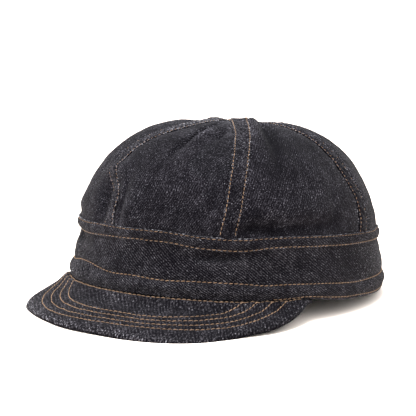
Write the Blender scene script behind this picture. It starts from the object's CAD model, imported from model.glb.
# A soft denim work cap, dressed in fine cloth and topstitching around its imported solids.
import math

import bmesh
import bpy
import numpy as np
from mathutils import Matrix, Vector, noise


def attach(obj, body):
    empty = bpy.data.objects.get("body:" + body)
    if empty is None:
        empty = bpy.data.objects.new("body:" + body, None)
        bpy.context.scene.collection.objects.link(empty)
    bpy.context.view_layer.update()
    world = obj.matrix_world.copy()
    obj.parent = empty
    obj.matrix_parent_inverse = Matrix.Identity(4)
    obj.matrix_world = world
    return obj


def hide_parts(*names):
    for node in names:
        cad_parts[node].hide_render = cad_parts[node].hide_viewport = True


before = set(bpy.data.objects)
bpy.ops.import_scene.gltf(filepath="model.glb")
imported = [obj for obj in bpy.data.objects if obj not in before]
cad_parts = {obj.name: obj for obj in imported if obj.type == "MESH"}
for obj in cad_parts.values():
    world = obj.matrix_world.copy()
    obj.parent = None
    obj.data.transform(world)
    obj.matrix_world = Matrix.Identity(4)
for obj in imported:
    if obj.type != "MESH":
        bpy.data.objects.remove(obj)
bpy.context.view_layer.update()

MM = 0.001
# How much of the weave's UV map a millimetre of cloth takes up
WEAVE_PER_MM = 0.01

# The cap's sizes in millimetres, and angles in degrees round it from the front
HEM_LENGTH = 210.0
HEM_WIDTH = 174.3
CLOTH = 1.5
GAP = 0.3
REST_TILT = math.radians(3.5)
HEM_REACH = 0.984
HEM_AROUND = math.pi * (HEM_LENGTH + HEM_WIDTH) / 2
FLOOR_LEVEL = 0.5 - HEM_LENGTH / 2 * HEM_REACH * math.sin(REST_TILT)
PLACE = (0.1857, 21.7371)

# The band, measured up the wall from the hem edge
HEM_TURN = 11.6
LAP_BOTTOM = 29.3
LAP_TOP = 36.6
LAP_LOW_ROW = 29.9
LAP_HIGH_ROW = 35.5

# The crown above the band is a dome that is squarer than an ellipse
CROWN_BASE = 35.5
CROWN_REACH = 0.951
CROWN_RISE = 59.2
CROWN_CLIMB = 117.0
CROWN_TOP = CROWN_BASE + CROWN_CLIMB
CLIMB_POWER = 1.49
DOME_WIDTH_POWER = 0.672
DOME_RISE_POWER = 1.224
CROWN_LEAN = (-1.0, -0.5)
PANEL_TUCK = 3.2
PANEL_TIP_GAP = 3.5
PANEL_PUFF = 1.1

# Felled seams and their two rows of stitches. Turn and mitre are in degrees.
STRIP_WIDTH = 10.0
STRIP_ROW = 4.0
STRIP_TUCK = 1.6
STRIP_MITRE = 29.0
OVER_TOP_TURN = 33.0
# The seams that end at the top, each with how stout its thread is
SINGLE_SEAMS = {"left": 0.72, "back_left": 0.72, "right": 0.72, "front_right": 0.5}

# The brim, measured forward from the middle of the hem
BRIM_MIDDLE = 67.8
BRIM_HALF_WIDTH = 78.3
BRIM_REACH = 78.9
BRIM_CORNER = 2.162
BRIM_SLOPE = math.radians(15.19)
BRIM_ARCH = 0.0036
BRIM_DROOP = 1.0
BRIM_DROOP_START = 50.0
BRIM_THICKNESS = 3.0
BRIM_TIP_THICKNESS = 1.4
BRIM_ROOT_INSET = 3.0
BRIM_SINK = 0.02
BRIM_END = 62.0
BRIM_BLEND = 10.0
BRIM_ROWS = (8.6, 13.4, 18.3, 22.8)
JOIN_AWAY = 1.5
JOIN_RIDGE = 0.7
JOIN_ENDS = (-48.0, 57.0)
RIM_DROOP = 0.5
BRIM_SLUB = 0.5

# How far out the wall stands at each height, as a share of the hem's half size
BAND_REACH = (
    (0, 0.984), (2.4, 0.987), (7, 0.991), (11.6, 0.984), (16, 0.98),
    (22, 0.968), (27, 0.957), (31, 0.95), (35.5, 0.951),
)
# How high the hem edge is lifted off its flat line, by angle from the front
HEM_LIFT = (
    (0, 2), (35, 2), (50, 2.4), (60, 3), (72, 1), (90, 0.3), (110, 0), (180, 0),
)
# How far the turned hem's upper stitches and the lap wander up or down, by angle
HEM_ROW_SHIFT = (
    (-180, 0), (-90, 0.2), (-60, 0), (-46, 0.4), (-36, 2.3), (-30, 2.6), (-22, 1.3), (-14, -0.3),
    (-3, 0), (9, -0.6), (19, 0), (27, 0), (37, -0.3), (44, -1.2), (53, -0.6), (65, -0.8),
    (80, -1.8), (100, -1.4), (130, 0), (180, 0),
)
LAP_SHIFT = (
    (-180, 0), (-90, 0.4), (-50, -0.5), (-30, -0.1), (-14, 0.7), (-3, 1.3), (9, 1.4),
    (19, -0.3), (27, -1), (37, -1.1), (44, 0.1), (53, 1.1), (65, 1.3), (90, 1.1), (130, -0.3),
    (180, 0),
)
# The join stitches behind the brim's ends, by angle from the front
JOIN_ROW = (
    (0, 1.2), (46, 1.2), (54, 1.5), (60, 1.9), (66, 2.3), (75, 2.6), (90, 2.2), (120, 2.4), (180, 2.4),
)
HEM_JOIN_ENDS = (47, 302)

# The middle line of each seam, as distance up the wall and angle from the front
SEAMS = {
    "front_left": (
        (35, 30.7), (52, 32.4), (78, 34.5), (108, 36.3), (130, 35.5), (CROWN_TOP, OVER_TOP_TURN),
    ),
    "left": ((35, 91), (50, 92.8), (57, 93.2), (68, 91.6), (84, 91.2), (100, 91.8), (CROWN_TOP, 91)),
    "back_left": ((35, 152), (94, 152), (CROWN_TOP, 151)),
    "back_right": ((35, 211), (94, 212), (CROWN_TOP, OVER_TOP_TURN + 180)),
    "right": ((35, 272), (94, 273), (CROWN_TOP, 274)),
    "front_right": (
        (35, 341.8), (46, 340.8), (56, 340.2), (66, 334), (76, 330.2), (88, 332.6), (98, 337.4),
        (110, 345.5), (130, 349.5), (CROWN_TOP, 350),
    ),
}
PANELS = {
    "front": ("front_right", "front_left"),
    "front_left": ("front_left", "left"),
    "back_left": ("left", "back_left"),
    "back": ("back_left", "back_right"),
    "back_right": ("back_right", "right"),
    "front_right": ("right", "front_right"),
}

# How far the worn rim stands out from its plain curve, by its turn from the front
RIM_SHIFT = (
    (-105, -4), (-84, -3), (-72, 1), (-60, 0.5), (-48, -1.6), (-30, -2.4), (-14, -0.4),
    (0, 1), (12, 3), (28, 4.2), (40, 2.6), (50, -0.4), (60, -1.8), (75, -0.5), (105, -0.2),
)

# Folds: middle angle, distance up the wall, turn from upright, half length, half width, out
MAIN_FOLDS = (
    (5.8, 100, 18, 17, 2.2, -3.6), (11.5, 99, 22, 14, 3, 1.8), (22, 102.5, 25, 10, 3, -3.8),
    (57, 108, 15, 22, 3.6, -4.8),
    (41, 43, 92, 15, 4, -5), (60, 44, 88, 26, 3.6, -3.6),
    (55, 52, 90, 30, 8, 2), (29, 25.7, 86, 17, 2.2, -3.6), (50, 18, 80, 20, 5, -0.8),
    (-46, 26, 90, 18, 4, -2.4), (-13.5, 50, -3, 12, 2.4, -2.4), (112, 46.6, 10, 20, 12, -1.6),
    (118, 96, -20, 16, 5, -1.8), (150, 26, 88, 22, 3.5, -1.4), (182, 41.9, 90, 26, 4, -1.8),
    (196, 90.8, 12, 20, 5, -1.8), (243, 41.2, 92, 24, 4, -1.8), (258, 24, 84, 20, 3.5, -1.4),
    (300, 88.7, -18, 18, 5, -1.8), (306, 40.4, 90, 22, 4, -1.6),
)
# Broad hollows and swells, which seams and panels share
HOLLOWS = (
    (284, 128, 90, 18, 5.5, -3.6), (122, 141, 90, 22, 9, -4), (162, 128, 0, 14, 8, -2),
    (232, 134, 90, 16, 14, -0.8),
    (-24.7, 51, -5, 15.2, 6.7, -4.2), (-8, 50, 0, 16, 6, 1.4),
    (-24.8, 68, 1, 5.4, 9.7, 3.6), (117, 57, 0, 16, 22, -1.2),
    (117, 20, 90, 30, 12, 1.1), (292, 112, 0, 16, 12, -0.8), (-40, 2.5, 90, 46, 4, 1.5),
    (47, 116, 12, 24, 4.6, 1.6), (-104, 117, 90, 14, 9, -2.2), (52, 130.5, 90, 9, 4.6, 1.9),
    (182, 124, 90, 13, 9, -1.3), (-52, 44, 90, 16, 6, 1.3), (114, 80, 0, 16, 18, -0.9),
)
FINE_FOLDS = (
    (-52, 22, 40, 9, 1.8, -1.3), (-47, 27, 130, 7, 1.8, -1.1), (-58, 17, 150, 7, 1.8, -1),
    (-41, 21, 20, 8, 1.8, -0.8), (-62, 25, 100, 8, 1.8, -0.8), (-35, 18, 60, 8, 1.8, -0.6),
    (12, 70, 12, 16, 3, -0.5), (24, 52, 30, 12, 2.5, -0.5), (62, 84, -12, 16, 3.5, -0.5),
    (75, 60, 15, 16, 4, -0.5), (66, 24, 70, 12, 2.5, -0.5), (82, 17, 100, 10, 2.5, -0.5),
    (8, 20, 96, 14, 2.5, -0.4), (-14, 22, 80, 12, 2.5, -0.5), (-30, 62, 8, 18, 4, -0.6),
    (130, 60, -14, 20, 4, -0.6), (168, 66, 10, 20, 4, -0.6), (190, 62, -12, 18, 3.5, -0.5),
    (228, 70, 14, 20, 4, -0.6), (252, 60, -10, 18, 4, -0.5), (290, 58, 12, 18, 4, -0.6),
    (320, 72, -10, 16, 3.5, -0.5), (120, 22, 80, 14, 3, -0.5), (200, 20, 96, 16, 3, -0.5),
    (230, 18, 84, 12, 3, -0.4), (285, 22, 92, 14, 3, -0.5),
)

# Ridges are paler than folds, and the sides darker and more rubbed than the front
FOLD_FADE = 0.04
FADE_MOST = 0.16
FRONT_MIDDLE = 25
SIDE_WEAR = 0.34
SIDE_DARKER = 0.48
# Paler and darker patches of the dye, in the columns of the folds, with the change last
DYE = (
    (-14, 5, 90, 62, 5, 0.2), (42, 5, 90, 34, 5, 0.1), (-30, 26, 70, 24, 14, 0.14),
    (-12, 40, 0, 12, 12, 0.09), (9, 101, 90, 18, 7, 0.24), (64, 92, 90, 24, 12, -0.14),
    (54, 94, 15, 22, 4.5, -0.3), (84, 24, 90, 26, 11, -0.17), (49, 47, 88, 13, 4, 0.14),
    (-22, 71, 90, 16, 7, -0.06), (-9, 88, 60, 10, 6, -0.12), (-66, 84, 20, 20, 8, 0.3),
    (19, 50, 0, 9, 8, 0.12), (88, 66, 0, 26, 10, -0.12), (107, 17, 0, 12, 6, 0.2),
    (36, 22, 90, 16, 4, 0.1),
)


def smooth_table(rows, value):
    """Reads a table of two columns along a smooth curve through its rows."""
    keys, heights = np.array(rows, float).T
    slopes = np.gradient(heights, keys)
    value = np.clip(value, keys[0], keys[-1])
    low = np.clip(np.searchsorted(keys, value) - 1, 0, len(keys) - 2)
    width = keys[low + 1] - keys[low]
    share = (value - keys[low]) / width
    squared, cubed = share**2, share**3
    from_low = (2 * cubed - 3 * squared + 1) * heights[low]
    from_high = (3 * squared - 2 * cubed) * heights[low + 1]
    low_slope = (cubed - 2 * squared + share) * width * slopes[low]
    high_slope = (cubed - squared) * width * slopes[low + 1]
    return from_low + from_high + low_slope + high_slope


def smooth_step(value, start, end):
    share = np.clip((value - start) / (end - start), 0, 1)
    return share * share * (3 - 2 * share)


def mix(start, end, share):
    return start + (end - start) * share


def signed(angle):
    return (angle + 180) % 360 - 180


def noise_at(points, size, seed):
    """Smooth noise from about -1 to 1 at points in millimetres, with lumps of the given size."""
    shift = Vector((seed * 17.3, seed * 5.1, seed * 9.7))
    return np.array([noise.noise(Vector(point) / size + shift) for point in points])


def hem_lift(angle):
    return smooth_table(HEM_LIFT, np.abs(signed(angle)))


def dome_angle(path):
    left = np.clip(1 - (path - CROWN_BASE) / CROWN_CLIMB, 0, 1)
    return math.pi / 2 * (1 - left**CLIMB_POWER)


def wall_reach(path):
    dome = CROWN_REACH * np.clip(np.cos(dome_angle(path)), 0, 1) ** DOME_WIDTH_POWER
    return np.where(path < CROWN_BASE, smooth_table(BAND_REACH, path), dome)


def wall_radius(path):
    return wall_reach(path) * HEM_LENGTH / 2


def wall_height(path, angle):
    low = path + hem_lift(angle) * np.clip(1 - path / HEM_TURN, 0, 1)
    high = CROWN_BASE + CROWN_RISE * np.sin(dome_angle(path)) ** DOME_RISE_POWER
    return np.where(path < CROWN_BASE, low, high)


def plain_wall(angle, path):
    """The smooth wall without thickness, before the cap is laid down."""
    reach = wall_reach(path)
    lean = np.clip(path / CROWN_BASE, 0, 1)
    x = CROWN_LEAN[0] * lean + reach * HEM_WIDTH / 2 * np.sin(np.radians(angle))
    y = CROWN_LEAN[1] * lean - reach * HEM_LENGTH / 2 * np.cos(np.radians(angle))
    return np.stack([x, y, wall_height(path, angle)], axis=-1)


def wall_normal(angle, path):
    low = np.minimum(path, CROWN_TOP - 3)
    across = plain_wall(angle + 0.5, low) - plain_wall(angle - 0.5, low)
    upward = plain_wall(angle, low + 0.5) - plain_wall(angle, low - 0.5)
    normal = np.cross(across, upward)
    return normal / np.linalg.norm(normal, axis=-1, keepdims=True)


def seam_angle(name, path):
    return smooth_table(SEAMS[name], path)


def seam_distance(angle, path):
    """Distance in millimetres to the middle line of the nearest seam."""
    turns = [np.abs(signed(angle - seam_angle(name, path))) for name in SEAMS]
    return np.radians(np.min(turns, axis=0)) * wall_radius(path)


def sum_folds(folds, angle, path):
    """The rows of a table of folds added up, each fading away from its middle line."""
    radius = wall_radius(path)
    out = np.zeros_like(angle)
    for middle, height, turn, length, width, depth in folds:
        across = np.radians(signed(angle - middle)) * radius
        along = path - height
        sine, cosine = math.sin(math.radians(turn)), math.cos(math.radians(turn))
        lengthwise = (across * sine + along * cosine) / length
        sideways = (across * cosine - along * sine) / width
        out += depth * np.exp(-lengthwise**2 - sideways**2)
    return out


def fold_out(angle, path):
    """How far folds and hollows move the wall out. The crown's folds calm down at its seams."""
    calm = mix(1, smooth_step(seam_distance(angle, path), 5, 15), smooth_step(path, LAP_TOP, 46))
    folds = sum_folds(MAIN_FOLDS + FINE_FOLDS, angle, path)
    return calm * folds + sum_folds(HOLLOWS, angle, path)


def side_wear(angle):
    """The cloth is rubbed more at the cap's sides and back than at its front."""
    return SIDE_WEAR * smooth_step(np.abs(signed(angle - FRONT_MIDDLE)), 42, 70)


def fold_fade(angle, path):
    """Paler dye on ridges, darker dye in folds and the patches, as changes of paleness."""
    folded = np.clip(FOLD_FADE * fold_out(angle, path), -FADE_MOST, FADE_MOST)
    return folded + sum_folds(DYE, angle, path) - SIDE_DARKER * side_wear(angle)


def lay_down(points):
    """Tips the cap until brim and hem lie on the floor, and presses flat what would pass it."""
    x, y, z = points.T
    tilted_y = y * math.cos(REST_TILT) + z * math.sin(REST_TILT)
    tilted_z = z * math.cos(REST_TILT) - y * math.sin(REST_TILT) - FLOOR_LEVEL
    return np.stack([x + PLACE[0], tilted_y + PLACE[1], np.maximum(tilted_z, 0)], axis=-1)


def wall_point(angle, path, out):
    """Places that stand a distance out from the folded wall."""
    puffed = (out + fold_out(angle, path))[:, None]
    return plain_wall(angle, path) + wall_normal(angle, path) * puffed


def cloth_piece(name, columns, rows, place, wall=0):
    """A grid of cloth, set by place(across, along): its points, weave places, wear and fading."""
    cloth = bmesh.new()
    bmesh.ops.create_grid(cloth, x_segments=columns, y_segments=rows, size=0.5)
    cloth.verts.index_update()
    weave_layer = cloth.loops.layers.uv.new("weave")
    wear_layer = cloth.verts.layers.float.new("wear")
    fade_layer = cloth.verts.layers.float.new("fade")
    shares = np.array([vertex.co[:2] for vertex in cloth.verts]) + 0.5
    points, weave, wear, fade = place(shares[:, 0], shares[:, 1])
    points = lay_down(points) * MM
    weave = weave * WEAVE_PER_MM
    for face in cloth.faces:
        for loop in face.loops:
            loop[weave_layer].uv = weave[loop.vert.index]
    for vertex, point, worn, faded in zip(cloth.verts, points, wear, fade):
        vertex.co = point
        vertex[wear_layer] = worn
        vertex[fade_layer] = faded
    if not wall:
        bmesh.ops.remove_doubles(cloth, verts=cloth.verts, dist=1e-7)
        open_edges = [edge for edge in cloth.edges if edge.is_boundary]
        bmesh.ops.holes_fill(cloth, edges=open_edges, sides=0)
        bmesh.ops.recalc_face_normals(cloth, faces=cloth.faces)
    piece = piece_from(name, cloth)
    if wall:
        thick = piece.modifiers.new("cloth wall", "SOLIDIFY")
        thick.thickness = wall * MM
        thick.offset = -1
    return piece


def piece_from(name, shape):
    mesh = bpy.data.meshes.new(name)
    shape.to_mesh(mesh)
    shape.free()
    mesh.shade_smooth()
    piece = bpy.data.objects.new(name, mesh)
    bpy.context.scene.collection.objects.link(piece)
    return piece


def degrees_wide(width, angle, path):
    """Degrees that a width takes up round the wall at a distance up it."""
    apart = plain_wall(angle + 0.5, path) - plain_wall(angle - 0.5, path)
    return width / np.linalg.norm(apart, axis=-1)


def cloth_relief(points, size=1.0):
    """Small crumples and slubs of washed cloth, in millimetres out."""
    crumple = 0.55 * noise_at(points, 24, 1) + 0.3 * noise_at(points, 9, 2)
    slub = 0.07 * noise_at(points, 2.2, 3) + 0.05 * noise_at(points, 1.1, 4)
    return size * crumple + slub


# Crown panels
PANEL_COLUMNS = 84
PANEL_GRID_ROWS = 110


def panel_out(angle, path):
    """How far a panel's outer face stands off the wall, with its crumples and puckers."""
    base = plain_wall(angle, path)
    apart = seam_distance(angle, path)
    free = smooth_step(apart, 4, 16)
    above = np.clip(path - LAP_TOP, 0, None)
    near_lap = np.exp(-above / 9)
    pucker = noise_at(base, 5.5, 5) * (0.42 * np.exp(-np.clip(apart - 5, 0, None) / 5) + 0.3 * near_lap)
    ditch = -0.35 * np.exp(-(((apart - 5.6) / 1.1) ** 2))
    climb = np.clip((path - CROWN_BASE) / CROWN_CLIMB, 0, 1)
    puff = PANEL_PUFF * np.sqrt(free) * np.sin(math.pi * climb) ** 0.7
    return cloth_relief(base, 0.35 + 0.65 * free) + pucker + ditch + puff


def panel_place(start_seam, end_seam):
    def place(across, along):
        path = mix(CROWN_BASE - PANEL_TUCK, CROWN_TOP - PANEL_TIP_GAP, along)
        crowded = mix(across, 0.5 - 0.5 * np.cos(math.pi * across), 0.5)
        end = seam_angle(end_seam, path)
        start = seam_angle(start_seam, path)
        start = np.where(start > end, start - 360, start)
        margin = degrees_wide(GAP / 2, (start + end) / 2, path)
        angle = mix(start + margin, end - margin, crowded)
        above_lap = path - smooth_table(LAP_SHIFT, signed(angle)) - LAP_TOP
        tucked = smooth_step(above_lap, 1.2, -0.4)
        out = mix(panel_out(angle, path), 0, tucked)
        points = wall_point(angle, path, out)
        radius = wall_reach(path) * (HEM_LENGTH + HEM_WIDTH) / 4
        weave = np.stack([np.radians(angle - (start + end) / 2) * radius, path], axis=-1)
        wear = 0.35 * np.exp(-np.clip(seam_distance(angle, path) - 5, 0, None) / 2.5)
        wear += 0.25 * smooth_step(path, 95, 140) + side_wear(angle)
        return points, weave, wear, fold_fade(angle, path)
    return place


# Felled seam strips, closed round their cross section
STRIP_SECTION = 40
STRIP_GRID_ROWS = 170
OUTER_SHARE = 0.75


def strip_profile(around):
    """Across the strip in millimetres and the share of its thickness, round its section."""
    outside = around <= OUTER_SHARE
    outer = np.clip(around / OUTER_SHARE, 0, 1)
    inner = np.clip((around - OUTER_SHARE) / (1 - OUTER_SHARE), 0, 1)
    side = np.where(outside, mix(-0.5, 0.5, outer), mix(0.5, -0.5, inner)) * STRIP_WIDTH
    edge = np.clip((STRIP_WIDTH / 2 - np.abs(side)) / 0.9, 0, 1)
    rise = np.where(outside, np.sqrt(1 - (1 - edge) ** 2), 0)
    return side, rise


def strip_out(side, rise, path, base):
    """The strip's outer face: puckered by its stitches and twisted into slanting ribs."""
    between = smooth_step(np.abs(side), STRIP_ROW, STRIP_ROW - 1.6)
    groove = -0.4 * np.exp(-(((np.abs(side) - STRIP_ROW) / 0.55) ** 2))
    slant = np.sin(2 * math.pi * (path + side * 1.1) / 6.2 + 2.5 * noise_at(base, 14, 7))
    rope = between * (0.2 + 0.26 * slant)
    slub = 0.09 * noise_at(base, 2.0, 8)
    return 0.1 + (0.75 + groove + rope + slub) * rise


def from_over_top(points):
    """Distance in plan from the line of the seam that crosses the top."""
    top = plain_wall(np.zeros(1), np.full(1, CROWN_TOP))[0, :2]
    foot = plain_wall(np.full(1, OVER_TOP_TURN), np.full(1, LAP_TOP))[0, :2]
    along = (foot - top) / np.linalg.norm(foot - top)
    offset = points[:, :2] - top
    return np.abs(along[0] * offset[:, 1] - along[1] * offset[:, 0])


def strip_end(name, side):
    """How far up the wall a single strip reaches at one place across it."""
    path = np.arange(110, CROWN_TOP - 0.5, 0.1)
    middle = seam_angle(name, path)
    turned = degrees_wide(side, middle, path)
    apart = from_over_top(plain_wall(middle + turned, path))
    clear = np.abs(turned) + degrees_wide(GAP, middle, path) < STRIP_MITRE
    clear &= apart > STRIP_WIDTH / 2 + GAP
    return path[np.nonzero(clear)[0][-1]]


def single_strip_spot(name, side, path):
    """Angle on the wall of a place on a single strip."""
    middle = seam_angle(name, path)
    return middle + degrees_wide(side, middle, path)


def seat(base):
    """How far out a seam's strip is seated, on panels that are puffed beside it."""
    return 0.3 * (noise_at(base, 20, 9) + 0.2)


def strip_wear(side, rise, path, top_wear):
    edge = np.exp(-(((STRIP_WIDTH / 2 - np.abs(side)) / 0.8) ** 2))
    faded = 0.15 + top_wear * smooth_step(path, 60, 130)
    return np.clip(0.6 * edge + faded, 0, 1) * (rise > 0)


def single_strip_place(name):
    sides = np.linspace(-STRIP_WIDTH / 2, STRIP_WIDTH / 2, 41)
    ends = np.array([strip_end(name, side) for side in sides])

    def place(around, along):
        side, rise = strip_profile(around)
        path = mix(LAP_TOP - STRIP_TUCK, np.interp(side, sides, ends), along)
        angle = single_strip_spot(name, side, path)
        base = plain_wall(angle, path)
        points = wall_point(angle, path, strip_out(side, rise, path, base) + seat(base))
        weave = np.stack([side, path], axis=-1)
        return points, weave, strip_wear(side, rise, path, 0.36), fold_fade(angle, path)
    return place


def over_top_points(side, run, out):
    """Places on the strip that climbs the front left seam, crosses the top and comes down."""
    rising = run < 0.5
    up = 1 - np.abs(run * 2 - 1)
    path = mix(LAP_TOP - STRIP_TUCK, CROWN_TOP, up)
    middle = np.where(rising, seam_angle("front_left", path), seam_angle("back_right", path))
    turned_side = np.where(rising, side, -side)
    top = plain_wall(np.zeros(1), np.full(1, CROWN_TOP))[0]
    centre = plain_wall(middle, path)
    near_top = np.hypot(centre[:, 0] - top[0], centre[:, 1] - top[1]) < STRIP_WIDTH * 1.5
    below_top = np.clip(path, CROWN_BASE, CROWN_TOP - 6)
    angle = middle + degrees_wide(turned_side, middle, below_top)
    walled = wall_point(angle, path, out)
    heading = np.radians(middle)
    sideways = np.stack([np.cos(heading), np.sin(heading), np.zeros_like(heading)], axis=-1)
    straight = wall_point(middle, path, out) + sideways * turned_side[:, None]
    return np.where(near_top[:, None], straight, walled), path


def over_top_place(around, along):
    side, rise = strip_profile(around)
    base, path = over_top_points(side, along, np.zeros_like(side))
    run = along * 2 * CROWN_CLIMB
    out = strip_out(side, rise, run, base) + seat(base)
    points = over_top_points(side, along, out)[0]
    weave = np.stack([side, run], axis=-1)
    fade = np.full_like(side, -0.05) - 0.2 * smooth_step(path, 70, 40)
    return points, weave, strip_wear(side, rise, path, 0.12), fade


# The band: one cloth, its hem turned up inside and its top folded over the crown
BAND_COLUMNS = 460
OUTER_FACE = (
    (0, -0.35), (0.3, 0.35), (1.2, 0.8), (2.6, 0.85), (4.2, 1.25), (7, 1.5), (9.6, 0.95),
    (11.6, -0.1), (13.2, 0.25), (18, 0.15), (23, 0), (27.6, -0.1), (29.1, -0.15),
    (29.45, 0.75), (29.9, 0.85), (31.4, 1.7), (32.8, 1.9), (34.3, 1.7), (35.5, 0.95), (36.2, 1.35),
)
INNER_FACE = (
    (36.75, 1.2), (36.95, 0.85), (36.7, 0.45), (36, 0.35), (34, 0.35), (32, 0.35), (31.3, -1.1),
    (30.5, -1.5), (27, -1.5), (20, -1.5), (13, -1.5), (12.2, -1.7), (11.6, -2.9), (10, -3),
    (6, -3), (2, -3), (0.6, -2.8), (0, -2.2), (-0.15, -1.2), (0, -0.35),
)
OUTER_STEP = 0.42
INNER_STEP = 1.3


def spaced(rows, step):
    """Places along a run of section points, a step apart."""
    rows = np.array(rows, float)
    run = np.r_[0, np.cumsum(np.linalg.norm(np.diff(rows, axis=0), axis=1))]
    places = np.linspace(0, run[-1], max(2, int(run[-1] / step)) + 1)
    return np.stack([smooth_table(np.c_[run, column], places) for column in rows.T], axis=-1)


outer_section = spaced(OUTER_FACE, OUTER_STEP)
inner_section = spaced((OUTER_FACE[-1],) + INNER_FACE, INNER_STEP)
band_section = np.vstack([outer_section, inner_section[1:]])
band_run = np.r_[0, np.cumsum(np.linalg.norm(np.diff(band_section, axis=0), axis=1))]


def band_shift(angle, path):
    """How far the band's rows wander from level, at an angle and a height."""
    turn = signed(angle)
    hem = smooth_table(HEM_ROW_SHIFT, turn) * np.exp(-(((path - HEM_TURN) / 6.5) ** 2))
    lap = smooth_table(LAP_SHIFT, turn) * smooth_step(path, 19, 29)
    return hem + lap


def band_relief(angle, path, outside):
    """Crumples of the band, with slanting ribs between the stitch rows of its lap and hem."""
    base = plain_wall(angle, path)
    over_low_row = smooth_step(path, LAP_LOW_ROW - 0.2, LAP_LOW_ROW + 1)
    lap = over_low_row * smooth_step(path, LAP_HIGH_ROW, LAP_HIGH_ROW - 1.4)
    hem = smooth_step(path, 2.6, 4.5) * smooth_step(path, HEM_TURN, HEM_TURN - 2)
    run = np.radians(angle) * HEM_LENGTH / 2
    wander = 2.2 * noise_at(base, 16, 11)
    ribs = np.sin(2 * math.pi * (run + path * 0.9) / 7.4 + wander)
    small = 0.5 * noise_at(base, 5.5, 12) + 0.5 * noise_at(base, 3.2, 13)
    puckered = (lap + hem) * (0.16 * ribs + 0.35 * small)
    middle = smooth_step(path, HEM_TURN, HEM_TURN + 5) * smooth_step(path, LAP_BOTTOM, LAP_BOTTOM - 5)
    near_hem = np.exp(-((path - HEM_TURN - 2) / 3.5) ** 2)
    near_lap = np.exp(-((path - LAP_BOTTOM + 2) / 3.5) ** 2)
    pucker = 0.28 * small * (near_hem + near_lap) * middle
    edge = smooth_step(path, 0, 1.5)
    return np.where(outside, edge * (cloth_relief(base, 0.3 + 0.9 * middle) + puckered + pucker), 0)


def band_place(across, along):
    index = np.rint(along * (len(band_section) - 1)).astype(int)
    path, out = band_section[index].T
    angle = across * 360
    outside = index < len(outer_section)
    moved = path + band_shift(angle, path)
    lifted = out + band_relief(angle, path, outside)
    points = wall_point(angle, np.maximum(moved, -0.2), lifted)
    weave = np.stack([band_run[index], -across * HEM_AROUND], axis=-1)
    hem_edge = np.exp(-((path / 1.2) ** 2))
    lap_upper_edge = np.exp(-(((path - LAP_TOP) / 0.7) ** 2))
    lap_lower_edge = np.exp(-(((path - LAP_BOTTOM - 0.2) / 0.4) ** 2))
    lap_edge = lap_upper_edge + 0.7 * lap_lower_edge
    wear = np.clip(0.5 * hem_edge + 0.7 * lap_edge + side_wear(angle), 0, 1)
    return points, weave, wear, fold_fade(angle, moved)


# The brim: two cloths over a stiffener, with rows of stitches that follow its rim
BRIM_COLUMNS = 300
BRIM_TOP_ROWS = 130
BRIM_RIM_ROWS = 12
BRIM_UNDER_ROWS = 30
BRIM_CLOSING_ROWS = 2
BRIM_ROUND_ROWS = BRIM_TOP_ROWS + BRIM_RIM_ROWS + BRIM_UNDER_ROWS + BRIM_CLOSING_ROWS


def brim_rim(turn, worn=True):
    """Places in plan on the brim's edge, worn as it is or on its plain curve."""
    power = 2 / BRIM_CORNER
    side, front = np.sin(np.radians(turn)), np.cos(np.radians(turn))
    shift = smooth_table(RIM_SHIFT, turn) * worn
    x = (BRIM_HALF_WIDTH + shift) * np.sign(side) * np.abs(side) ** power
    forward = BRIM_MIDDLE + (BRIM_REACH + shift) * np.sign(front) * np.abs(front) ** power
    return np.stack([x, forward], axis=-1)


def outside_hem(plan):
    """How far in plan places are outside the hem, as a share of its half size."""
    return np.hypot(plan[:, 0] / (HEM_WIDTH / 2), plan[:, 1] / (HEM_LENGTH / 2)) - 1


def from_hem(plan):
    return outside_hem(plan) * HEM_LENGTH / 2


def rim_end(sign):
    """Turn at which the brim's edge has gone under the hem, on one side."""
    turns = np.arange(BRIM_END, 180, 0.25)
    return turns[np.nonzero(outside_hem(brim_rim(sign * turns)) <= -BRIM_SINK)[0][0]]


def brim_root(angle):
    """Places in plan of the brim's hidden edge under the turned hem."""
    root = wall_point(angle, np.zeros_like(angle), np.full_like(angle, -BRIM_ROOT_INSET))
    return root[:, :2] * (1, -1)


RIGHT_END = rim_end(-1)
LEFT_END = rim_end(1)
worn_rim = brim_rim(np.linspace(-RIGHT_END, LEFT_END, 500))
plain_rim = brim_rim(np.linspace(-RIGHT_END, LEFT_END, 500), False)


def from_rim(plan, rim):
    """Distance in plan from a rim line."""
    return np.array([np.min(np.hypot(*(rim - spot).T)) for spot in plan])


def brim_top(plan):
    """Height of the brim's top face over the hem's plane."""
    x, forward = plan.T
    droop = BRIM_DROOP * smooth_step(-x, BRIM_DROOP_START, BRIM_HALF_WIDTH)
    open_height = math.tan(BRIM_SLOPE) * (HEM_LENGTH / 2 - forward) - BRIM_ARCH * x * x / 2 - droop
    angle = np.degrees(np.arctan2(x / HEM_WIDTH, forward / HEM_LENGTH))
    tucked = hem_lift(np.clip(np.abs(angle), 0, BRIM_END)) - GAP
    return mix(tucked, open_height, smooth_step(from_hem(plan), 0, BRIM_BLEND))


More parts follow.
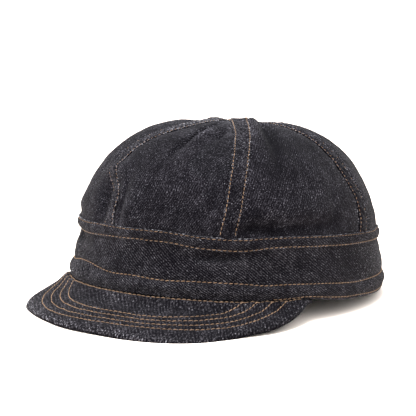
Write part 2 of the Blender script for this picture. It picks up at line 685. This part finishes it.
def brim_relief(plan, inset):
    """Ridges between the rows of stitches, grooves at them and small slubs."""
    spots = np.c_[plan, np.zeros(len(plan))]
    first, last = BRIM_ROWS[0], BRIM_ROWS[-1]
    gap_between = (last - first) / (len(BRIM_ROWS) - 1)
    in_rows = smooth_step(inset, first - 0.8, first) * smooth_step(inset, last + 0.8, last)
    ridge = in_rows * 0.28 * (0.5 - 0.5 * np.cos(2 * math.pi * (inset - first) / gap_between))
    outer_roll = 0.3 * smooth_step(inset, 0.4, 3) * smooth_step(inset, first, 4.5)
    groove = sum(-0.25 * np.exp(-(((inset - row) / 0.8) ** 2)) for row in BRIM_ROWS)
    away = from_hem(plan)
    join_groove = 0.2 * np.exp(-(((away - JOIN_AWAY) / 0.7) ** 2))
    join = JOIN_RIDGE * np.exp(-(((away - 3) / 2.2) ** 2)) - join_groove
    wave = 0.4 * noise_at(spots, 30, 15) + 0.16 * noise_at(spots, 9, 16)
    pucker = 0.14 * noise_at(spots, 3.4, 17) + 0.06 * noise_at(spots, 1.4, 18)
    return ridge + outer_roll + groove + join + wave + pucker


def brim_wear(true_inset, x, level):
    """The edge and the cloth beside it are rubbed, most of all at the front and right."""
    rubbed = 0.32 * np.exp(-((true_inset / 2.4) ** 2)) + 0.2 * smooth_step(true_inset, 11, 4)
    return rubbed * smooth_step(level, -0.5, 0.6) * mix(1, 0.45, smooth_step(x, 15, 70))


def brim_fade(x, level):
    """The right of the brim is a little paler than its left, and the underside darker."""
    fade = mix(0.03, -0.03, smooth_step(x, 10, 70)) + 0.1 * smooth_step(x, -45, -70)
    return fade - 0.3 * smooth_step(level, 0.6, -0.3)


def brim_place(across, along):
    """Rows go from the hem over the top to the rim, round it, and back underneath."""
    index = np.rint(along * BRIM_ROUND_ROWS)
    side = 2 * across - 1
    rim = brim_rim(np.where(side < 0, side * RIGHT_END, side * LEFT_END))
    root = brim_root(side * BRIM_END)
    length = np.linalg.norm(root - rim, axis=-1)
    thickness = mix(BRIM_THICKNESS, BRIM_TIP_THICKNESS, smooth_step(np.abs(side), 0.8, 1))
    half = np.minimum(thickness / 2, length * 0.3)
    on_top = index <= BRIM_TOP_ROWS
    on_rim = (index > BRIM_TOP_ROWS) & (index < BRIM_TOP_ROWS + BRIM_RIM_ROWS)
    top_share = (1 - np.clip(index / BRIM_TOP_ROWS, 0, 1)) ** 1.5
    rolled = np.clip((index - BRIM_TOP_ROWS) / BRIM_RIM_ROWS, 0, 1)
    under_share = np.clip((index - BRIM_TOP_ROWS - BRIM_RIM_ROWS) / BRIM_UNDER_ROWS, 0, 1) ** 1.2
    closing = np.clip(index - BRIM_ROUND_ROWS + BRIM_CLOSING_ROWS, 0, BRIM_CLOSING_ROWS) / BRIM_CLOSING_ROWS
    flat_inset = half + (length - half) * np.where(on_top, top_share, under_share)
    inset = np.where(on_rim, half * (1 - np.sin(math.pi * rolled)), flat_inset)
    plan = rim + (root - rim) * (inset / length)[:, None]
    true_inset = from_rim(plan, worn_rim)
    row_inset = from_rim(plan, plain_rim)
    under_level = np.where(on_rim, np.cos(math.pi * rolled), mix(-1, 1, closing))
    level = np.where(on_top, 1.0, under_level)
    relief = brim_relief(plan, row_inset) * np.clip(level, 0, 1) * smooth_step(true_inset, 0, 2)
    under = 0.1 * brim_relief(plan, row_inset) * (level < 0)
    drooped = brim_top(plan) - RIM_DROOP * np.exp(-((true_inset / 4.5) ** 2))
    height = drooped - half * (1 - level) * np.where(on_rim, 1, thickness / 2 / half)
    points = np.stack([plan[:, 0], -plan[:, 1], height + relief + under], axis=-1)
    unrolled = np.where(on_rim, half * (1 - math.pi * rolled), half * (2 - math.pi) - inset)
    unrolled = np.where(on_top, inset, unrolled)
    weave = (rim + (root - rim) * (unrolled / length)[:, None])[:, ::-1] * (BRIM_SLUB, 1)
    wear = brim_wear(true_inset, plan[:, 0], level)
    wear += 0.2 * np.exp(-((from_hem(plan) / 4) ** 2)) * on_top
    return points, weave, wear, brim_fade(plan[:, 0], level)


# Stitches, each a short thread that dips into the cloth at both ends
STITCH_PITCH = 2.85
STITCH_LENGTH = 2.35
THREAD_RADIUS = 0.22
ROW_WANDER = 0.4
INSIDE_CROWN = (0, 0, 20)
BELOW_BRIM = (0, -100, -400)
FACE_ORDER = (1, 2.3, 17.9)
stitch_random = np.random.default_rng(7)


def stitch_shape():
    """One thread, whose UV map says how far along it and round it a place is."""
    shape = bmesh.new()
    thread_layer = shape.loops.layers.uv.new("thread")
    bmesh.ops.create_uvsphere(shape, u_segments=6, v_segments=7, radius=1)
    # The sphere's faces come in an order that changes from run to run, so they are sorted
    shape.faces.sort(key=lambda face: face.calc_center_median().dot(FACE_ORDER))
    for face in shape.faces:
        for loop in face.loops:
            corner = loop.vert.co
            turn = math.atan2(corner.y, corner.x) / (2 * math.pi)
            loop[thread_layer].uv = (corner.z * 0.4 + 0.5, turn)
    mesh = bpy.data.meshes.new("stitch shape")
    shape.to_mesh(mesh)
    shape.free()
    return mesh


def stitch_places(line, pitch):
    """Middles and directions of the stitches along a line of surface points and normals."""
    points, normals = line
    run = np.r_[0, np.cumsum(np.linalg.norm(np.diff(points, axis=0), axis=1))]
    count = max(1, int(round(run[-1] / pitch)))
    middles = (np.arange(count) + 0.5) * run[-1] / count
    half = STITCH_LENGTH / 2

    def at(values, where):
        return np.stack([np.interp(where, run, column) for column in values.T], axis=-1)

    ahead = at(points, middles + half) - at(points, middles - half)
    return at(points, middles), ahead, at(normals, middles)


def topstitching(name, lines, pitch=STITCH_PITCH, length=STITCH_LENGTH, raised=0.12, slant=6, stout=1.0):
    """All the stitches of a group of rows, as one piece."""
    template = stitch_shape()
    corners = np.array([vertex.co[:] for vertex in template.vertices])
    loops = np.zeros(len(template.loops) * 2)
    template.uv_layers["thread"].data.foreach_get("uv", loops)
    threads = bmesh.new()
    number = 0
    for line in lines:
        for middle, heading, normal in zip(*stitch_places(line, pitch)):
            turn = math.radians(stitch_random.normal(0, slant * 0.5) + slant)
            long_axis = heading / np.linalg.norm(heading)
            normal = normal - long_axis * np.dot(normal, long_axis)
            normal /= np.linalg.norm(normal)
            side_axis = np.cross(normal, long_axis)
            long_axis = long_axis * math.cos(turn) + side_axis * math.sin(turn)
            side_axis = np.cross(normal, long_axis)
            along = corners[:, 2]
            width = THREAD_RADIUS * stout * stitch_random.uniform(0.9, 1.12)
            lift = raised + 0.3 * (0.55 - along**2) + stitch_random.normal(0, 0.02)
            stitch = middle + np.outer(along * length / 2, long_axis)
            stitch = stitch + np.outer(corners[:, 0] * width * 1.08, side_axis)
            stitch = stitch + np.outer(corners[:, 1] * width * 0.9 + lift, normal)
            template.vertices.foreach_set("co", (lay_down(stitch) * MM).ravel())
            shifted = loops.copy()
            shifted[::2] += number
            template.uv_layers["thread"].data.foreach_set("uv", shifted)
            threads.from_mesh(template)
            number += 1
    bpy.data.meshes.remove(template)
    return piece_from(name, threads)


def surface_line(points_of, count, inside=INSIDE_CROWN):
    """Points along a row, from points_of(share, aside), and normals away from a place inside."""
    share = np.linspace(0, 1, count)
    start = float(points_of(share[:1], 0.0).sum())
    wander = ROW_WANDER * np.array([noise.noise((value * 26, start, 0)) for value in share])
    points = points_of(share, wander)
    aside = points_of(share, wander + 0.6) - points_of(share, wander - 0.6)
    ahead = np.gradient(points, axis=0)
    normals = np.cross(ahead, aside)
    normals /= np.linalg.norm(normals, axis=1, keepdims=True)
    outward = np.sum(normals * (points - inside), axis=1, keepdims=True)
    return points, normals * np.sign(outward)


def band_line(row_path, count=700, start=0.0, end=360.0):
    """A row of stitches round the band, at the distance up it that row_path(angle) gives."""
    def points_of(share, aside):
        angle = mix(start, end, share)
        path = row_path(angle) + aside
        out = np.interp(path, outer_section[:, 0], outer_section[:, 1])
        relief = band_relief(angle, path, np.ones_like(angle, bool))
        return wall_point(angle, path + band_shift(angle, path), out + relief)
    return surface_line(points_of, count)


def level_row(height):
    return lambda angle: np.full_like(angle, height)


def join_row(angle):
    return smooth_table(JOIN_ROW, np.abs(signed(angle)))


def single_strip_line(name, side):
    """A row of stitches up a single strip."""
    end = strip_end(name, side) - 0.3

    def points_of(share, aside):
        path = mix(LAP_TOP + 0.6, end, share)
        across = np.full_like(path, side + aside)
        angle = single_strip_spot(name, across, path)
        base = plain_wall(angle, path)
        out = strip_out(across, np.ones_like(path), path, base) + seat(base)
        return wall_point(angle, path, out)
    return surface_line(points_of, 200)


def over_top_line(side):
    """A row of stitches up, across the top and down the strip that crosses it."""
    first = (STRIP_TUCK + 0.6) / (CROWN_TOP - LAP_TOP + STRIP_TUCK) / 2

    def points_of(share, aside):
        along = mix(first, 1 - first, share)
        across = np.full_like(along, side + aside)
        base = over_top_points(across, along, np.zeros_like(along))[0]
        out = strip_out(across, np.ones_like(along), along * 2 * CROWN_CLIMB, base) + seat(base)
        return over_top_points(across, along, out)[0]
    return surface_line(points_of, 420)


def brim_surface(plan):
    height = brim_top(plan) + brim_relief(plan, from_rim(plan, plain_rim))
    return np.stack([plan[:, 0], -plan[:, 1], height], axis=-1)


def brim_line(inset):
    """A row of stitches at one distance in from the rim, as far as the hem."""
    turns = np.linspace(-RIGHT_END, LEFT_END, 700)
    rim = brim_rim(turns, False)
    ahead = np.gradient(rim, axis=0)
    ahead /= np.linalg.norm(ahead, axis=1, keepdims=True)
    inward = np.stack([-ahead[:, 1], ahead[:, 0]], axis=-1)
    middle = len(turns) // 2
    inward *= np.where(inward[middle, 1] > 0, -1, 1)
    plan = rim + inward * inset
    seen = (from_hem(plan) > 0.6) & (from_rim(plan, plain_rim) > inset - 0.05)
    first = middle - np.argmin(seen[middle::-1])
    last = middle + np.argmin(seen[middle:])
    plan, inward = plan[first + 1:last], inward[first + 1:last]

    def points_of(share, aside):
        index = share * (len(plan) - 1)
        steps = np.arange(len(plan))
        spots = np.stack([np.interp(index, steps, column) for column in plan.T], axis=-1)
        sideways = np.stack([np.interp(index, steps, column) for column in inward.T], axis=-1)
        return brim_surface(spots + sideways * np.reshape(aside, (-1, 1)))
    return surface_line(points_of, 400, BELOW_BRIM)


def join_line():
    """The stitches that join the brim to the hem, on the brim just in front of the hem."""
    def points_of(share, aside):
        angle = np.radians(mix(*JOIN_ENDS, share))
        reach = 1 + (JOIN_AWAY + aside) / (HEM_LENGTH / 2)
        x = reach * HEM_WIDTH / 2 * np.sin(angle)
        forward = reach * HEM_LENGTH / 2 * np.cos(angle)
        return brim_surface(np.stack([x, forward], axis=-1))
    return surface_line(points_of, 400, BELOW_BRIM)


# Materials
TWILL_PITCH = 1.2
TWILL_TURN = math.radians(57)
DARK_WARP = (0.0012, 0.001, 0.0022)
BRIM_WARP = (0.0014, 0.0012, 0.0024)
BARE_WEFT = (0.34, 0.34, 0.37)
DARK_TAN = (0.12, 0.074, 0.046)
LIGHT_TAN = (0.29, 0.186, 0.12)
THREAD_TWIST = 26


def node(tree, kind, inputs=None, **settings):
    new = tree.nodes.new(kind)
    for key, value in settings.items():
        setattr(new, key, value)
    for key, value in (inputs or {}).items():
        if isinstance(value, bpy.types.NodeSocket):
            tree.links.new(value, new.inputs[key])
        else:
            new.inputs[key].default_value = value
    return new


def maths(tree, operation, first, second=0.0, third=0.0):
    new = node(tree, "ShaderNodeMath", {0: first, 1: second, 2: third}, operation=operation)
    return new.outputs[0]


def vertex_value(tree, name):
    return node(tree, "ShaderNodeAttribute", attribute_name=name).outputs["Fac"]


def new_material(name, roughness, sheen, sheen_roughness, sheen_tint):
    material = bpy.data.materials.new(name)
    material.use_nodes = True
    shader = material.node_tree.nodes["Principled BSDF"]
    shader.inputs["Roughness"].default_value = roughness
    shader.inputs["Specular IOR Level"].default_value = 0.04
    shader.inputs["Sheen Weight"].default_value = sheen
    shader.inputs["Sheen Roughness"].default_value = sheen_roughness
    shader.inputs["Sheen Tint"].default_value = sheen_tint
    return material, shader


def denim(name, dark, pale, paleness, fuzz=0.02, ribbed=0.3, rub=(0.6, 1.4)):
    """Slubby twill: dark warp, pale flecks of weft, clouds of fading and pale worn edges."""
    material, shader = new_material(name, 0.85, fuzz, 0.4, (0.85, 0.84, 0.88, 1))
    tree = material.node_tree
    weave = node(tree, "ShaderNodeUVMap", uv_map="weave").outputs[0]
    in_millimetres = {"Vector": weave, "Scale": (1 / WEAVE_PER_MM,) * 3}
    flat = node(tree, "ShaderNodeMapping", in_millimetres).outputs[0]
    parts = node(tree, "ShaderNodeSeparateXYZ", {0: flat})
    across, along = parts.outputs[0], parts.outputs[1]

    def speckle(x_scale, y_scale, shift, detail, roughness=0.5):
        place = {"Vector": flat, "Location": (shift, shift, 0), "Scale": (x_scale, y_scale, 1)}
        spread = node(tree, "ShaderNodeMapping", place).outputs[0]
        look = {"Vector": spread, "Scale": 1.0, "Detail": detail, "Roughness": roughness}
        return node(tree, "ShaderNodeTexNoise", look, noise_dimensions="2D").outputs[0]

    wander = maths(tree, "MULTIPLY", speckle(0.12, 0.12, 3, 1), 6)
    slanted = maths(tree, "ADD", maths(tree, "MULTIPLY", across, math.sin(TWILL_TURN)),
                    maths(tree, "MULTIPLY", along, -math.cos(TWILL_TURN)))
    phase = maths(tree, "MULTIPLY_ADD", slanted, 2 * math.pi / TWILL_PITCH, wander)
    twill = maths(tree, "MULTIPLY_ADD", maths(tree, "SINE", phase), 0.5, 0.5)
    warp = speckle(1.7, 0.6, 11, 2, 0.6)
    weft = speckle(0.7, 1.7, 23, 2, 0.6)
    fleck = speckle(1.5, 1.6, 37, 2, 0.6)
    blotch = speckle(0.2, 0.17, 43, 2)
    cloud = speckle(0.06, 0.05, 51, 2)
    amount = maths(tree, "MULTIPLY_ADD", twill, ribbed, paleness + 0.1 - ribbed / 2)
    for part, share in ((warp, 1.45), (weft, 1.15), (fleck, 1.3), (blotch, 0.6), (cloud, 0.45)):
        centred = maths(tree, "SUBTRACT", part, 0.5)
        amount = maths(tree, "ADD", amount, maths(tree, "MULTIPLY", centred, share))
    spark = maths(tree, "MAXIMUM", maths(tree, "SUBTRACT", fleck, 0.66), 0)
    amount = maths(tree, "MULTIPLY_ADD", spark, 5, amount)
    frayed = maths(tree, "MULTIPLY", maths(tree, "SUBTRACT", speckle(*rub, 61, 1), 0.46), 7)
    amount = maths(tree, "MULTIPLY_ADD", vertex_value(tree, "wear"), frayed, amount)
    amount = maths(tree, "ADD", amount, vertex_value(tree, "fade"))
    ramp = node(tree, "ShaderNodeValToRGB", {"Fac": maths(tree, "MULTIPLY", amount, 0.5)})
    stops = ramp.color_ramp.elements
    stops[0].position, stops[0].color = 0.0, (*dark, 1)
    stops[1].position, stops[1].color = 1.0, (*BARE_WEFT, 1)
    for place, share in ((0.15, 0.07), (0.3, 0.28), (0.5, 1)):
        stop = stops.new(place)
        stop.color = (*(mix(low, high, share) for low, high in zip(dark, pale)), 1)
    tree.links.new(ramp.outputs[0], shader.inputs["Base Color"])
    height = maths(tree, "ADD", maths(tree, "MULTIPLY", twill, 0.5), maths(tree, "MULTIPLY", warp, 1.1))
    height = maths(tree, "ADD", height, maths(tree, "MULTIPLY", weft, 0.8))
    bump = node(tree, "ShaderNodeBump", {"Height": height, "Strength": 0.8, "Distance": 0.0005})
    tree.links.new(bump.outputs[0], shader.inputs["Normal"])
    return material


def thread_material():
    """Golden tan thread, twisted, with each stitch a little lighter or darker."""
    material, shader = new_material("golden tan thread", 0.6, 0.25, 0.4, (1, 0.85, 0.6, 1))
    tree = material.node_tree
    places = node(tree, "ShaderNodeUVMap", uv_map="thread").outputs[0]
    parts = node(tree, "ShaderNodeSeparateXYZ", {0: places})
    along, turn = parts.outputs[0], parts.outputs[1]
    number = maths(tree, "FLOOR", along)
    chance = node(tree, "ShaderNodeTexWhiteNoise", {"W": number}, noise_dimensions="1D")
    drift = node(tree, "ShaderNodeTexNoise", {"W": number, "Scale": 0.11}, noise_dimensions="1D")
    drifted = maths(tree, "MULTIPLY", drift.outputs[0], 0.5)
    share = maths(tree, "MULTIPLY_ADD", chance.outputs["Value"], 0.55, drifted)
    ramp = node(tree, "ShaderNodeValToRGB", {"Fac": share})
    stops = ramp.color_ramp.elements
    stops[0].position, stops[0].color = 0.1, (*DARK_TAN, 1)
    stops[1].position, stops[1].color = 0.9, (*LIGHT_TAN, 1)
    tree.links.new(ramp.outputs[0], shader.inputs["Base Color"])
    turned = maths(tree, "MULTIPLY", turn, 2 * math.pi)
    twist = maths(tree, "SINE", maths(tree, "MULTIPLY_ADD", along, THREAD_TWIST, turned))
    bump = node(tree, "ShaderNodeBump", {"Height": twist, "Strength": 0.5, "Distance": 0.00008})
    tree.links.new(bump.outputs[0], shader.inputs["Normal"])
    return material


# The stage: camera, lights and floor, in metres
HEM_MIDDLE = Vector((0.0002, 0.0217, 0.0058))
CAMERA_AWAY = 1.0
CAMERA_AZIMUTH = math.radians(27.4)
CAMERA_ELEVATION = math.radians(10.909)
CAMERA_ROLL = math.radians(1.668)
# The lens, and how far from the hem's middle the camera aims, in pixels of the picture
FOCAL_PIXELS = 1692.7
AIM_RIGHT = -23.30
AIM_UP = 71.18
IMAGE_PIXELS = 416
SENSOR_WIDTH = 36.0
LIGHT_AIM = Vector((0, 0, 0.04))
FLOOR_COLOUR = (0.97, 0.885, 0.815, 1)
SKY_STRENGTH = 1.9


def add_camera():
    right = Vector((math.cos(CAMERA_AZIMUTH), math.sin(CAMERA_AZIMUTH), 0))
    level_back = Vector((math.sin(CAMERA_AZIMUTH), -math.cos(CAMERA_AZIMUTH), 0))
    back = level_back * math.cos(CAMERA_ELEVATION) + Vector((0, 0, math.sin(CAMERA_ELEVATION)))
    up = back.cross(right)
    view_back = (back * FOCAL_PIXELS - right * AIM_RIGHT - up * AIM_UP).normalized()
    view_right = right * math.cos(CAMERA_ROLL) + up * math.sin(CAMERA_ROLL)
    view_right = (view_right - view_back * view_right.dot(view_back)).normalized()
    view_up = view_back.cross(view_right)
    data = bpy.data.cameras.new("camera")
    data.sensor_width = SENSOR_WIDTH
    data.lens = FOCAL_PIXELS * SENSOR_WIDTH / IMAGE_PIXELS
    data.clip_end = 100
    camera = bpy.data.objects.new("camera", data)
    turn = Matrix((view_right, view_up, view_back)).transposed()
    camera.matrix_world = Matrix.Translation(HEM_MIDDLE + back * CAMERA_AWAY) @ turn.to_4x4()
    bpy.context.scene.collection.objects.link(camera)
    bpy.context.scene.camera = camera


def add_light(name, place, size, power):
    data = bpy.data.lights.new(name, "AREA")
    data.shape = "DISK"
    data.size = size
    data.energy = power
    light = bpy.data.objects.new(name, data)
    light.location = place
    light.rotation_euler = (LIGHT_AIM - Vector(place)).to_track_quat("-Z", "Y").to_euler()
    bpy.context.scene.collection.objects.link(light)


def add_stage():
    shape = bmesh.new()
    bmesh.ops.create_grid(shape, x_segments=1, y_segments=1, size=20)
    floor = piece_from("floor", shape)
    material = bpy.data.materials.new("pale floor")
    material.use_nodes = True
    shader = material.node_tree.nodes["Principled BSDF"]
    shader.inputs["Base Color"].default_value = FLOOR_COLOUR
    shader.inputs["Roughness"].default_value = 1.0
    floor.data.materials.append(material)
    world = bpy.data.worlds.new("studio")
    world.use_nodes = True
    sky = world.node_tree.nodes["Background"]
    sky.inputs["Color"].default_value = (1, 1, 1, 1)
    sky.inputs["Strength"].default_value = SKY_STRENGTH
    bpy.context.scene.world = world
    bpy.context.scene.view_settings.view_transform = "Standard"
    add_light("overhead", (-0.2, 0.0, 1.5), 1.1, 42)
    add_light("left front", (-1.2, -1.2, 0.55), 0.8, 12)


def finish_piece(piece, material, nodes=()):
    """Gives a piece its material and slot, and names the solids that it dresses."""
    piece.data.materials.append(material)
    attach(piece, "root")
    if nodes:
        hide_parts(*nodes)


def add_panels():
    material = denim("crown denim", DARK_WARP, (0.059, 0.056, 0.068), 0.15)
    for panel, (start_seam, end_seam) in PANELS.items():
        place = panel_place(start_seam, end_seam)
        cloth = cloth_piece(f"{panel}_panel_cloth", PANEL_COLUMNS, PANEL_GRID_ROWS, place, CLOTH)
        finish_piece(cloth, material, [f"crown_panel_{panel}"])


def add_strips():
    material = denim("seam denim", DARK_WARP, (0.062, 0.059, 0.07), 0.22)
    for seam in SINGLE_SEAMS:
        strip = cloth_piece(f"{seam}_seam_cloth", STRIP_SECTION, STRIP_GRID_ROWS, single_strip_place(seam))
        finish_piece(strip, material, [f"seam_strip_{seam}"])
    strip = cloth_piece("over_top_seam_cloth", STRIP_SECTION, STRIP_GRID_ROWS * 2, over_top_place)
    finish_piece(strip, material, ["seam_strip_over_top"])


def add_band():
    material = denim("band denim", DARK_WARP, (0.062, 0.059, 0.069), 0.175, ribbed=0.55, rub=(1.4, 0.6))
    cloth = cloth_piece("band_cloth", BAND_COLUMNS, len(band_section) - 1, band_place)
    finish_piece(cloth, material, ["band"])


def add_brim():
    material = denim("brim denim", BRIM_WARP, (0.062, 0.058, 0.067), 0.145, fuzz=0.008, rub=(1.4, 1.4))
    cloth = cloth_piece("brim_cloth", BRIM_COLUMNS, BRIM_ROUND_ROWS, brim_place)
    finish_piece(cloth, material, ["brim"])


def add_stitches():
    material = thread_material()

    def sew(name, lines, **thread):
        finish_piece(topstitching(f"{name}_topstitching", lines, **thread), material)

    both_rows = (-STRIP_ROW, STRIP_ROW)
    over_top_lines = [over_top_line(side) for side in both_rows]
    sew("over_top", over_top_lines, pitch=2.6, length=2.0, raised=0.06, slant=8, stout=0.78)
    for seam, stout in SINGLE_SEAMS.items():
        seam_lines = [single_strip_line(seam, side) for side in both_rows]
        sew(seam, seam_lines, pitch=2.4, length=1.5, raised=0.02, slant=8, stout=stout)
    for row, height, stout in (("lap_low", LAP_LOW_ROW, 0.8), ("lap_high", LAP_HIGH_ROW, 0.62)):
        sew(row, [band_line(level_row(height))], pitch=2.9, length=2.15, raised=0.08, stout=stout)
    hem_lines = [band_line(level_row(HEM_TURN)), band_line(join_row, 500, *HEM_JOIN_ENDS)]
    sew("hem", hem_lines, stout=0.88)
    sew("brim", [brim_line(inset) for inset in BRIM_ROWS], length=2.6)
    sew("join", [join_line()], length=2.6, stout=1.3)


# The flat cloths, as cut, and the strips and rows of stitches that go with them
SEAM_ALLOWANCE = 6.0


def brim_cut():
    """Width, length and area in metres of one of the brim's two cloths, with its seam allowance."""
    outline = np.vstack([plain_rim, brim_root(np.linspace(BRIM_END, -BRIM_END, 200))])
    after = np.roll(outline, -1, axis=0)
    inside = abs(np.sum(outline[:, 0] * after[:, 1] - after[:, 0] * outline[:, 1])) / 2
    area = inside + SEAM_ALLOWANCE * np.sum(np.linalg.norm(after - outline, axis=1))
    width, length = np.ptp(outline, axis=0) + 2 * SEAM_ALLOWANCE
    return width * MM, length * MM, area * MM * MM


def declare_brim():
    width, length, area = brim_cut()


add_camera()
add_stage()
add_panels()
add_strips()
add_band()
add_brim()
add_stitches()
declare_brim()
